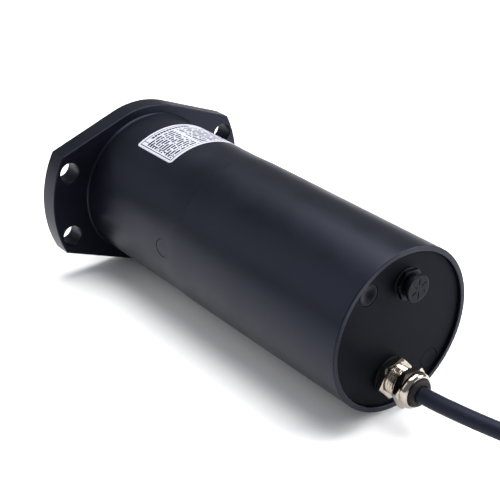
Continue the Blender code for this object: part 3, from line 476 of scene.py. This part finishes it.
def side_disc(radius, rim, top, bottom, steps=96):
    """Points and faces of a disc in the housing's -Y side, its top bent round the motor's axis.

    A point at height z above the axis is at depth sqrt(top^2 - z^2), less rim at the edge row."""
    angle = np.linspace(0, 2 * np.pi, steps, endpoint=False)[None]
    reach = np.array([[0.0], [radius * 0.5], [radius - rim], [radius], [radius], [0.0]])
    sink = np.array([[0.0], [0.0], [0.0], [rim], [0.0], [0.0]])
    high = reach * np.sin(angle)
    depth = np.sqrt(top ** 2 - high ** 2) - sink
    depth[4:] = bottom
    points = np.stack([FRONT + (OIL_PLUG_ALONG + reach * np.cos(angle)) * MM, -depth * MM,
                       AXIS + high * MM], axis=-1).reshape(-1, 3)
    return points, grid_quads(len(reach), steps)[:, ::-1]


def cut(thing, points, faces):
    """Take a closed shape out of a piece for good: an exact difference, written into its mesh."""
    mesh = bpy.data.meshes.new("cutter")
    mesh.from_pydata(np.asarray(points).tolist(), [], [list(map(int, f)) for f in faces])
    weld(mesh)
    cutter = bpy.data.objects.new("cutter", mesh)
    bpy.context.scene.collection.objects.link(cutter)
    even = thing.modifiers[0]
    even.show_viewport = False
    step = thing.modifiers.new("cut", "BOOLEAN")
    step.solver = "EXACT"
    step.object = cutter
    bpy.context.view_layer.update()
    made = thing.evaluated_get(bpy.context.evaluated_depsgraph_get())
    thing.data = bpy.data.meshes.new_from_object(made)
    thing.modifiers.remove(step)
    even.show_viewport = True
    bpy.data.objects.remove(cutter, do_unlink=True)
    thing.data.set_sharp_from_angle(angle=np.radians(CREASE))


cut(housing, *side_disc(6.08, 0.0, 52.0, 45.8))
piece("oil_filler_plug", *side_disc(6.0, 0.25, 49.3, 46.1), satin_coat, nodes=["oil_plug"])
turned("painted_motor_tube", soften([
    (49.95, 112.03, 0.06), (50.0, 114.0, 0.4), (50.0, 257.5, 0.7), (46.7, 257.5, 0.6),
    (46.7, 112.03, 0.0)]), satin_coat, steps=SHELL_STEPS, nodes=["motor_tube"])

# %% [markdown]
# ## Rear cover and its fittings
# The cover sits two millimetres inside the tube. Its holes have hardly any edge break, so the two
# plastic plugs over the limit screws only show as fine dark rings. One of them is pressed into a
# shallow dish, the other is nearly level with the cover and coated over with it.

# %% Cover and plugs
COVER_FACE = 255.5
VENT, GLAND = (1.5, 29.0), (-4.5, -27.4)
PLUG_CIRCLE = 39.2
UPPER = tuple(PLUG_CIRCLE * f(np.radians(131.0)) for f in (np.cos, np.sin))
LOWER = tuple(PLUG_CIRCLE * f(np.radians(-47.0)) for f in (np.cos, np.sin))
cover_loops = [circle(46.4, count=192), circle(6.3, VENT), circle(9.3, GLAND),
               circle(6.65, UPPER), circle(6.65, LOWER)]
plate("rear_cover_plate", cover_loops, 249.5, COVER_FACE, [0.2, 0.2, 0.2, 0.1, 0.1], flat_coat,
      nodes=["rear_cover"], crease=40.0)


def dish(depth):
    """Profile of a round plug whose face sinks by depth (1 + cos(pi r / 5.6)) / 2 at radius r."""
    radius = np.linspace(0.0, 5.6, 12)
    face = COVER_FACE - 0.15 - depth * (1 + np.cos(np.pi * radius / 5.6)) / 2
    rim = [(6.1, COVER_FACE - 0.15), (6.4, COVER_FACE - 0.25), (6.5, COVER_FACE - 0.5)]
    side = [(0.0, 250.5), (6.5, 250.5)]
    return np.array(side + rim[::-1] + list(zip(radius, face))[::-1])


turned("upper_screw_plug", dish(1.5), moulded_nylon, UPPER, 64, nodes=["upper_limit_plug"])
turned("lower_screw_plug", dish(0.35), flat_coat, LOWER, 64, nodes=["lower_limit_plug"])

# %% [markdown]
# The vent plug lets the gear oil breathe. It is a black nylon bolt with a thin cap clipped over its
# neck. The cap's face has six short grooves in place of any lettering.

# %% Vent plug
turned("vent_seal_ring", soften([(8.6, 255.8, 0.3), (8.6, 256.9, 0.3), (6.3, 256.9, 0.2),
                                 (6.3, 255.8, 0.2)]), seal_rubber, VENT, 96,
       nodes=["vent_plug_seal"])
around = np.linspace(0, 2 * np.pi, 144, endpoint=False)
vent_turn = np.radians(-5.0)
vent_rows = [(0.0, 247.0), (5.6, 247.0), (6.0, 247.4), (6.0, 257.2),
             *nut_rows(16.8, vent_turn, around + vent_turn, 257.2, 260.0), (4.8, 260.0),
             (4.8, 263.3), (0.0, 263.3)]
rows_piece("vent_bolt", vent_rows, around + vent_turn, VENT, moulded_nylon,
           nodes=["vent_plug_body"], crease=22.0)


def cap_face(radius, angle):
    """Six grooves between radius 2.4 and 5.4, each 0.9 mm wide and 0.3 mm deep with soft sides.

    The depth falls off as exp(-(d / 0.5)^4) with the distance d from a groove's middle line."""
    aside = radius * np.abs(np.sin((np.mod(angle, np.pi / 3) - np.pi / 6)))
    beyond = np.maximum(np.abs(radius - 3.9) - 1.3, 0.0)
    return 265.2 - 0.3 * np.exp(-(np.hypot(aside, beyond) / 0.5) ** 4)


cap_rows = [(0.0, 263.6), (5.1, 263.6), (5.1, 260.7), (6.6, 260.7), (6.9, 261.0), (6.9, 263.4),
            (7.75, 263.4), (8.05, 263.7), (8.05, 264.7), (7.9, 265.05), (7.55, 265.2)]
cap_rows += [(r, cap_face(r, around)) for r in np.linspace(7.2, 0.0, 25)]
rows_piece("vent_cap_disc", cap_rows, around, VENT, moulded_nylon, nodes=["vent_cap"])

# %% [markdown]
# The cable gland is the one bright fitting. Its body and cap nut are hexagons turned to a cone at
# their ends, and the nut runs out into a polished dome. Between them a few turns of its thread
# show. The thread is a helix, so its radius changes both along the neck and round it.

# %% Cable gland
turned("gland_sealing_washer", soften([(11.4, 255.8, 0.3), (11.4, 256.8, 0.3), (9.3, 256.8, 0.0),
                                       (9.3, 255.8, 0.0)]), seal_rubber, GLAND, 96,
       nodes=["gland_washer"])
body_turn, nut_turn = np.radians(13.5), np.radians(-1.7)


def thread(low, high, angle, pitch=1.5, depth=0.7):
    """Rows of a thread: radius 9 less depth (1 - cos(2 pi (along / pitch - angle / 2 pi))) / 2."""
    return [(9.0 - depth * (1 - np.cos(2 * np.pi * x / pitch - angle)) / 2, x + 0 * angle)
            for x in np.linspace(low, high, int((high - low) / pitch * 10))]


angle = around + body_turn
gland_rows = [(5.35, 243.5), (8.6, 243.5), (9.0, 243.9), (9.0, 257.1),
              *nut_rows(22.0, body_turn, angle, 257.1, 261.5), (9.0, 261.5),
              *thread(261.6, 271.2, angle), (8.2, 271.5), (5.35, 271.5), (5.35, 243.5)]
rows_piece("gland_lower_body", gland_rows, angle, GLAND, nickel, nodes=["gland_body"], crease=24.0)

angle = around + nut_turn
bend = np.linspace(0, np.pi / 2, 10)
dome = list(zip(8.75 + 2.15 * np.cos(bend), 274.7 + 3.3 * np.sin(bend)))
nut = [(9.3, 269.3), *nut_rows(22.0, nut_turn, angle, 269.3, 273.9), (10.9, 274.0), *dome,
       (8.45, 277.8), (8.4, 277.4), (8.4, 271.8), (9.3, 271.8), (9.3, 269.3)]
rows_piece("gland_domed_nut", nut, angle, GLAND, nickel, nodes=["gland_cap_nut"], crease=24.0)
turned("gland_rubber_seal", soften([(8.1, 271.8, 0.0), (8.1, 280.2, 1.3), (5.0, 280.2, 0.5),
                                    (5.0, 271.8, 0.0)]), seal_rubber, GLAND, 96,
       nodes=["gland_seal"])

# %% [markdown]
# ## Rating label
# The label is a thin white film wrapped over the housing. Its corners are round, so each of its
# rows gets shorter towards both ends. The print is generic: a fine frame and rows of short bars
# that stand for small type, worked out from the millimetres across and along the film.

# %% Label film
LABEL_RADIUS, LABEL_LOW, LABEL_HIGH = 49.65, 39.0, 76.0
LABEL_ANGLES = np.radians([42.0, 121.9])
film_width = LABEL_RADIUS * (LABEL_ANGLES[1] - LABEL_ANGLES[0])
film_height = LABEL_HIGH - LABEL_LOW


def film_grid(columns=81, corner=2.0):
    """Rows across the film, shortened at the ends by corner - sqrt(corner^2 - (corner - d)^2).

    d is the distance to the nearer end, up to the corner's radius."""
    near = corner * (1 - np.cos(np.linspace(0, np.pi / 2, 7)))
    down = np.concatenate([near, np.linspace(corner + 1, film_height - corner - 1, 12),
                           film_height - near[::-1]])
    d = np.minimum(np.minimum(down, film_height - down), corner)
    short = corner - np.sqrt(corner ** 2 - (corner - d) ** 2)
    across = np.linspace(-1, 1, columns)[None] * (film_width / 2 - short)[:, None]
    across, down = across + film_width / 2, np.broadcast_to(down[:, None], across.shape)
    angle = LABEL_ANGLES[0] + across / LABEL_RADIUS
    points = polar(LABEL_RADIUS, LABEL_LOW + down, angle)
    marks = np.stack([film_width - across, down, 0 * down], axis=-1).reshape(-1, 3)
    quads = grid_quads(*across.shape).reshape(-1, columns, 4)[:, :-1].reshape(-1, 4)
    return points, quads, marks


PRINT_STEPS = [
    ("from_right", "SUBTRACT", film_width, "across"), ("from_rear", "SUBTRACT", film_height, "down"),
    ("side", "MINIMUM", "across", "from_right"), ("end", "MINIMUM", "down", "from_rear"),
    ("edge", "MINIMUM", "side", "end"), ("frame", "COMPARE", "edge", 2.1, 0.3),
    # Rows of type are 2.45 mm apart, in cells 0.85 mm wide that are inked or not by chance.
    ("row", "DIVIDE", "down", 2.45), ("in_cell", "FRACT", "row"),
    ("in_row", "LESS_THAN", "in_cell", 0.56), ("row_number", "FLOOR", "row"),
    ("column", "DIVIDE", "across", 0.85), ("column_number", "FLOOR", "column"),
    ("chance", "SPECKLE", "column_number", "row_number"),
    ("inked", "GREATER_THAN", "chance", 0.22), ("letters", "MULTIPLY", "in_row", "inked"),
    ("inside", "GREATER_THAN", "edge", 3.4), ("below_title", "GREATER_THAN", "down", 7.3),
    ("field", "MULTIPLY", "inside", "below_title"), ("gutter", "COMPARE", "across", 26.0, 1.0),
    ("columns", "SUBTRACT", 1.0, "gutter"), ("page", "MULTIPLY", "field", "columns"),
    ("type", "MULTIPLY", "letters", "page"),
    # A ruled line stands near the left end, and the title is a row of bolder bars.
    ("rule_line", "COMPARE", "across", 5.3, 0.25), ("in_frame", "GREATER_THAN", "edge", 2.1),
    ("rule", "MULTIPLY", "rule_line", "in_frame"), ("title_row", "COMPARE", "down", 4.6, 1.0),
    ("title_width", "COMPARE", "across", 24.0, 15.0), ("bar", "DIVIDE", "across", 2.3),
    ("in_bar", "FRACT", "bar"), ("bars", "GREATER_THAN", "in_bar", 0.2),
    ("title_bars", "MULTIPLY", "title_width", "bars"),
    ("title", "MULTIPLY", "title_row", "title_bars"),
    ("type_and_frame", "MAXIMUM", "type", "frame"), ("rule_and_title", "MAXIMUM", "rule", "title"),
    ("ink", "MAXIMUM", "type_and_frame", "rule_and_title")]


def film_print():
    """White film with black print, placed by the film's own millimetres across and down.

    Each print step is arithmetic on numbers and on the results of earlier steps, by name."""
    material = finish("printed_label_film", "#aeb0bb", "#b9bbc5", (0.4, 0.5), 20.0, 1.0, 0.003,
                      Specular_IOR_Level=0.2)
    tree = material.node_tree
    shader = tree.nodes["Principled BSDF"]
    white = shader.inputs["Base Color"].links[0].from_socket
    place = add_node(tree, "ShaderNodeAttribute", attribute_name="print_place")
    split = add_node(tree, "ShaderNodeSeparateXYZ", {"Vector": place.outputs["Vector"]})
    sockets = {"across": split.outputs["X"], "down": split.outputs["Y"]}
    for name, operation, *values in PRINT_STEPS:
        inputs = {number: sockets.get(value, value) for number, value in enumerate(values)}
        if operation == "SPECKLE":
            cell = add_node(tree, "ShaderNodeCombineXYZ", inputs)
            step = add_node(tree, "ShaderNodeTexWhiteNoise", {"Vector": cell.outputs["Vector"]})
        else:
            step = add_node(tree, "ShaderNodeMath", inputs, operation=operation)
        sockets[name] = step.outputs["Value"]
    printed = add_node(tree, "ShaderNodeMixRGB",
                       {"Fac": sockets["ink"], "Color1": white, "Color2": linear("#15151a")})
    tree.links.new(printed.outputs["Color"], shader.inputs["Base Color"])
    return material


# %% Wrapped and printed
FILM_THICKNESS = 0.12
film_points, film_faces, film_marks = film_grid()
label = piece("rating_label_film", film_points, film_faces, film_print(), nodes=["rating_label"])
label_place = label.data.attributes.new("print_place", "FLOAT_VECTOR", "POINT")
label_place.data.foreach_set("vector", film_marks.astype(np.float32).ravel())
film_wall = label.modifiers.new("film", "SOLIDIFY")
film_wall.thickness = FILM_THICKNESS * MM
film_wall.offset = -1.0

# %% [markdown]
# ## Output shaft
# The shaft comes out of the flange's front through a lipped seal. Its keyway is milled with round
# ends, and the key that lies in it has the same shape, so one function draws both outlines.


# %% Shaft, key and seal
def key_outline(width, low, high, count=24):
    """Two half circles of half the width, one at each end of a straight slot."""
    angle = np.linspace(-np.pi / 2, np.pi / 2, count)
    end = np.stack([np.cos(angle), np.sin(angle)], axis=-1) * width / 2
    return np.concatenate([end + [high - width / 2, 0.0], -end + [low + width / 2, 0.0]])


shaft = turned("keyed_output_shaft", soften([
    (0.0, -36.0, 0.0), (3.5, -38.0, 0.0), (3.5, -49.4, 0.0), (4.2, -50.0, 0.0), (11.5, -50.0, 0.2),
    (12.5, -49.0, 0.2), (12.5, 7.3, 0.0), (15.0, 7.3, 0.3), (15.0, 25.7, 0.3), (9.0, 25.7, 0.0),
    (9.0, 34.0, 0.3), (0.0, 34.0, 0.0)], closed=False), ground_steel, steps=144,
    nodes=["output_shaft"], body="output")
slot_line = key_outline(8.6, -45.3, -8.7)
slot_points = np.concatenate([np.column_stack([slot_line, np.full(len(slot_line), z)])
                              for z in (8.2, 20.0)]) * MM + np.array([FRONT, 0.0, AXIS])
ring = np.arange(len(slot_line))
cut(shaft, slot_points, [*grid_quads(2, len(ring)).tolist(), ring[::-1].tolist(),
                         (ring + len(ring)).tolist()])
plate("parallel_key", [key_outline(8.0, -45.0, -9.0)], 8.5, 15.5, [0.4], ground_steel,
      nodes=["shaft_key"], body="output", upright=True)
turned("shaft_lip_seal", soften([
    (20.9, 0.6, 0.3), (20.9, 6.7, 0.0), (14.7, 6.7, 0.0), (12.8, 4.2, 0.3), (12.8, 2.4, 0.3),
    (14.7, 0.9, 0.3), (16.0, 1.6, 0.3), (18.6, 1.6, 0.3), (19.2, 0.6, 0.2)]), seal_rubber,
    steps=144, nodes=["shaft_seal"])

# %% [markdown]
# ## Mains cable
# The cable is a stiff rubber lead of four cores. It leaves the gland level, sinks to the floor in a
# long bend, and its spare length lies in a coil of turns that pack like a hexagon: two, three and
# two. Each turn steps to the next place a little earlier than the one before it, so that no two
# turns want the same place at once.

# %% Route of the cable
DIAMETER = 9.5
COIL_CENTRE = np.array([0.325, 0.0])
COIL_HEIGHT = 14.58
LEAD_ROUTE = np.array([
    (0.1610, -0.0045, 0.0284), (0.1654, -0.0045, 0.0284), (0.1750, -0.0040, 0.0287),
    (0.1850, -0.0028, 0.0290), (0.1950, -0.0012, 0.0292), (0.2050, 0.0010, 0.0292),
    (0.2150, 0.0038, 0.0289), (0.2240, 0.0072, 0.0281), (0.2325, 0.0113, 0.0265),
    (0.2405, 0.0161, 0.0238), (0.2480, 0.0215, 0.0201), (0.2550, 0.0272, 0.0160),
    (0.2618, 0.0333, 0.0121), (0.2685, 0.0398, 0.0088), (0.2752, 0.0464, 0.0064),
    (0.2822, 0.0527, 0.0053)])
layer = DIAMETER * np.sin(np.pi / 3)
# Each place is (radius, height over the coil's middle), in the order that the turns fill them.
LANES = np.array([(68.1, -9.5), (54.75, -layer), (45.25, -layer), (40.5, 0.0), (50.0, 0.0),
                  (45.25, layer), (54.75, layer), (59.5, 0.0), (69.6, -9.53)])
STEP_STARTS = np.array([0.0, 350.0, 688.0, 1026.0, 1364.0, 1702.0, 2040.0, 2285.0])
STEP_LENGTHS = np.array([96.0, 40.0, 40.0, 40.0, 40.0, 40.0, 40.0, 60.0])
FIRST_ANGLE, LAST_TRAVEL = 121.0, 2387.0


def coil_route(spacing=15.0):
    """Points of the coil, clockwise from FIRST_ANGLE, one every spacing degrees of travel.

    The place at a travel is the first lane plus each step to the next one times its share, which
    is 3 t^2 - 2 t^3 of the way t through that step."""
    travel = np.arange(0.0, LAST_TRAVEL, spacing)
    t = np.clip((travel[:, None] - STEP_STARTS) / STEP_LENGTHS, 0, 1)
    share = 3 * t ** 2 - 2 * t ** 3
    place = LANES[0] + share @ np.diff(LANES, axis=0)
    angle = np.radians(FIRST_ANGLE - travel)
    flat = COIL_CENTRE + place[:, :1] * MM * np.column_stack([np.cos(angle), np.sin(angle)])
    return np.column_stack([flat, (COIL_HEIGHT + place[:, 1]) * MM])


cable_route = np.concatenate([LEAD_ROUTE, coil_route()])
gaps = np.linalg.norm(np.diff(cable_route, axis=0), axis=1)
print(f"cable route {len(cable_route)} points, {gaps.sum():.2f} m")


# %% Cable, ties and cores
def cord_curve(name, route, diameter, material):
    """A round tube along a smooth curve through the route's points."""
    curve = bpy.data.curves.new(name, "CURVE")
    curve.dimensions = "3D"
    curve.bevel_depth = diameter / 2 * MM
    curve.bevel_resolution = 6
    curve.use_fill_caps = True
    curve.resolution_u = 5
    line = curve.splines.new("BEZIER")
    line.bezier_points.add(len(route) - 1)
    line.bezier_points.foreach_set("co", route.ravel())
    for knot in line.bezier_points:
        knot.handle_left_type = knot.handle_right_type = "AUTO"
    curve.materials.append(material)
    thing = bpy.data.objects.new(name, curve)
    bpy.context.scene.collection.objects.link(thing)
    return thing


cable = cord_curve("mains_cable", cable_route, DIAMETER, cable_sheath)
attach(cable, "motor_body")
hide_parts("cable_lead", "cable_coil", "cable_tail")


LOCK_HALF_WIDTH, LOCK_HALF_LENGTH, LOCK_LOW, LOCK_HIGH = 2.8, 3.1, 14.2, 18.4
COIL_RADIUS = 50.0


def tie(name, turn, node):
    """A flat band round the whole bundle, with its square lock on the outside.

    The band follows the stretched hull of the seven turns: in each direction n it is at the
    farthest turn's middle plus n times the cable's radius and the band's own depth."""
    n_angle = np.linspace(0, 2 * np.pi, 96, endpoint=False)
    n = np.stack([np.cos(n_angle), np.sin(n_angle)], axis=-1)
    middles = LANES[1:8] - [COIL_RADIUS, 0.0]
    farthest = middles[np.argmax(n @ middles.T, axis=1)]
    section = soften([(5.0, -2.4, 0.3), (6.2, -2.4, 0.3), (6.2, 2.4, 0.3), (5.0, 2.4, 0.3)],
                     steps=3)
    band = farthest[None] + n[None] * section[:, :1, None]
    side = np.broadcast_to(section[:, 1:], band.shape[:2])
    corners = [(-LOCK_HALF_WIDTH, LOCK_LOW), (LOCK_HALF_WIDTH, LOCK_LOW),
               (LOCK_HALF_WIDTH, LOCK_HIGH), (-LOCK_HALF_WIDTH, LOCK_HIGH)]
    lock = np.array([(*corner, y) for y in (-LOCK_HALF_LENGTH, LOCK_HALF_LENGTH)
                     for corner in corners])
    spots = np.concatenate([np.dstack([band, side]).reshape(-1, 3), lock])
    first = band.shape[0] * band.shape[1]
    faces = grid_quads(band.shape[0], band.shape[1]).tolist()
    faces += (np.array([(0, 1, 2, 3), (7, 6, 5, 4), (0, 4, 5, 1), (1, 5, 6, 2), (2, 6, 7, 3),
                        (3, 7, 4, 0)])[:, ::-1] + first).tolist()
    reach = COIL_RADIUS + spots[:, 0]
    points = np.column_stack([reach * np.cos(turn) - spots[:, 2] * np.sin(turn),
                              reach * np.sin(turn) + spots[:, 2] * np.cos(turn),
                              COIL_HEIGHT + spots[:, 1]]) * MM + [*COIL_CENTRE, 0.0]
    return piece(name, points, faces, tie_nylon, nodes=[node])


bands = [tie("coil_tie_a", np.radians(10.0), "cable_tie_1"),
         tie("coil_tie_b", np.radians(190.0), "cable_tie_2")]


# %% [markdown]
# The cable ends in four bare cores, as the maker supplies it. Two of them are black and brown for
# the two directions, one is blue for neutral, and the earth core is green with a yellow stripe.
# The stripe follows the core through an attribute that holds the cosine of the angle round it.


# %% Cores
def earth_stripe():
    """Green insulation, yellow wherever the cosine of the angle round the core is over 0.1."""
    material = finish("earth_core_insulation", "#1d7a33", "#248a3b", (0.4, 0.5), 3.0, 0.5, 0.005)
    tree = material.node_tree
    shader = tree.nodes["Principled BSDF"]
    green = shader.inputs["Base Color"].links[0].from_socket
    place = add_node(tree, "ShaderNodeAttribute", attribute_name="round_core")
    split = add_node(tree, "ShaderNodeSeparateXYZ", {"Vector": place.outputs["Vector"]})
    stripe = add_node(tree, "ShaderNodeMath", {0: split.outputs["X"], 1: 0.1},
                      operation="GREATER_THAN")
    both = add_node(tree, "ShaderNodeMixRGB", {"Fac": stripe.outputs["Value"], "Color1": green,
                                               "Color2": linear("#d8c81e")})
    tree.links.new(both.outputs["Color"], shader.inputs["Base Color"])
    return material


CORE_FINISHES = {
    "up_core": finish("brown_core_insulation", "#5a2f1a", "#693820", (0.4, 0.5), 3.0, 0.5, 0.005),
    "down_core": finish("black_core_insulation", "#0d0d0f", "#151517", (0.4, 0.5), 3.0, 0.5, 0.005),
    "neutral_core": finish("blue_core_insulation", "#1d4a9c", "#2455ad", (0.4, 0.5), 3.0, 0.5, 0.005),
    "earth_core": earth_stripe()}
TAIL_ANGLE, TAIL_RADIUS, TAIL_HEIGHT = np.radians(-106.0), 69.6, 5.05
CORE_RADIUS, STRAND_RADIUS, CORE_PLACE, CORE_SPREAD, CORE_REACH = 1.3, 0.8, 1.75, 5.0, 30.6
STRIPPED_FROM = 0.84
strand_copper = finish("bare_copper_strand", "#b5673a", "#d08a58", (0.25, 0.35), 1.0, 0.3, 0.06, 1.0)


def core(node, number, steps=24):
    """One core from the cut sheath to the floor, its last 5 mm stripped to the copper.

    The middle line moves from its place in the bundle to its place on the floor with the share
    3 t^2 - 2 t^3, and the tube's rings stand across the line's own direction."""
    ahead = np.array([np.cos(TAIL_ANGLE), np.sin(TAIL_ANGLE)])
    tail_end = np.array([*(COIL_CENTRE + TAIL_RADIUS * MM * ahead), TAIL_HEIGHT * MM])
    t = np.linspace(0, 1, 30)
    share = 3 * t ** 2 - 2 * t ** 3
    column, level = (-1 if number < 2 else 1), (1 if number in (1, 2) else -1)
    last_bend = TAIL_ANGLE - np.radians(3.5)
    onward = np.array([np.sin(last_bend), -np.cos(last_bend)])
    aside = np.array([-onward[1], onward[0]])
    side = (column * CORE_PLACE * (1 - share) + (number - 1.5) * CORE_SPREAD * share) * MM
    flat = tail_end[:2] + onward * (t[:, None] * CORE_REACH - 1.0) * MM + aside * side[:, None]
    height = (tail_end[2] + level * CORE_PLACE * MM) * (1 - share) + 1.45 * MM * share
    line = np.column_stack([flat, height])
    along = np.gradient(line, axis=0)
    along /= np.linalg.norm(along, axis=1, keepdims=True)
    across = np.cross(along, [0.0, 0.0, 1.0])
    across /= np.linalg.norm(across, axis=1, keepdims=True)
    up = np.cross(across, along)
    radius = np.where(t < STRIPPED_FROM, CORE_RADIUS, STRAND_RADIUS) * MM
    line = np.concatenate([line[:1], line, line[-1:]])
    across, up = (np.concatenate([v[:1], v, v[-1:]]) for v in (across, up))
    radius = np.concatenate([[0.0], radius, [0.0]])
    turn = np.linspace(0, 2 * np.pi, steps, endpoint=False)
    rings = (line[:, None] + radius[:, None, None] * (across[:, None] * np.cos(turn)[None, :, None]
                                                     + up[:, None] * np.sin(turn)[None, :, None]))
    thing = piece(f"{node}_wire", rings.reshape(-1, 3), grid_quads(len(line), steps),
                  CORE_FINISHES[node], nodes=[node], crease=50.0)
    thing.data.materials.append(strand_copper)
    bare = np.linalg.norm((line[1:-1][t > STRIPPED_FROM + 0.01][0] - tail_end)[:2])
    middles = np.zeros(len(thing.data.polygons) * 3, dtype=np.float32)
    thing.data.polygons.foreach_get("center", middles)
    stripped = np.linalg.norm((middles.reshape(-1, 3) - tail_end)[:, :2], axis=1) > bare
    thing.data.polygons.foreach_set("material_index", stripped.astype(np.int32))
    spots = np.zeros(len(thing.data.vertices) * 3, dtype=np.float32)
    thing.data.vertices.foreach_get("co", spots)
    spots = spots.reshape(-1, 3)
    nearest = np.argmin(np.linalg.norm(spots[:, None] - line[None], axis=2), axis=1)
    reach = np.einsum("ij,ij->i", spots - line[nearest], across[nearest])
    size = np.maximum(np.linalg.norm(spots - line[nearest], axis=1), 1e-9)
    turned_by = thing.data.attributes.new("round_core", "FLOAT_VECTOR", "POINT")
    marks = np.column_stack([reach / size, reach * 0, reach * 0])
    turned_by.data.foreach_set("vector", marks.astype(np.float32).ravel())
    return thing


wires = [core(node, number) for number, node in enumerate(CORE_FINISHES)]

# %% [markdown]
# ## The parts inside
# Gears, bearings, motor, brake and connections sit out of sight in their castings. They keep their
# CAD shapes and get the finish of what they are made of, by the slot that the record gives them.

# %% Finishes of the hidden parts
finish_of_slot = {
    "black_plastic": moulded_nylon, "black_rubber": seal_rubber, "nickel_plate": nickel,
    "ground_steel": ground_steel, "gear_steel": gear_steel, "lamination_steel": sheet_steel,
    "enamelled_copper": copper, "cast_aluminium": aluminium, "white_plastic": tray_plastic,
    "brake_lining": lining, "black_paint": satin_coat, "cover_grey": flat_coat}
for name, node in frame["nodes"].items():
    if slot_of[name] in finish_of_slot:
        node.data.materials.clear()
        node.data.materials.append(finish_of_slot[slot_of[name]])
print("nodes in the frame:", len(frame["nodes"]))
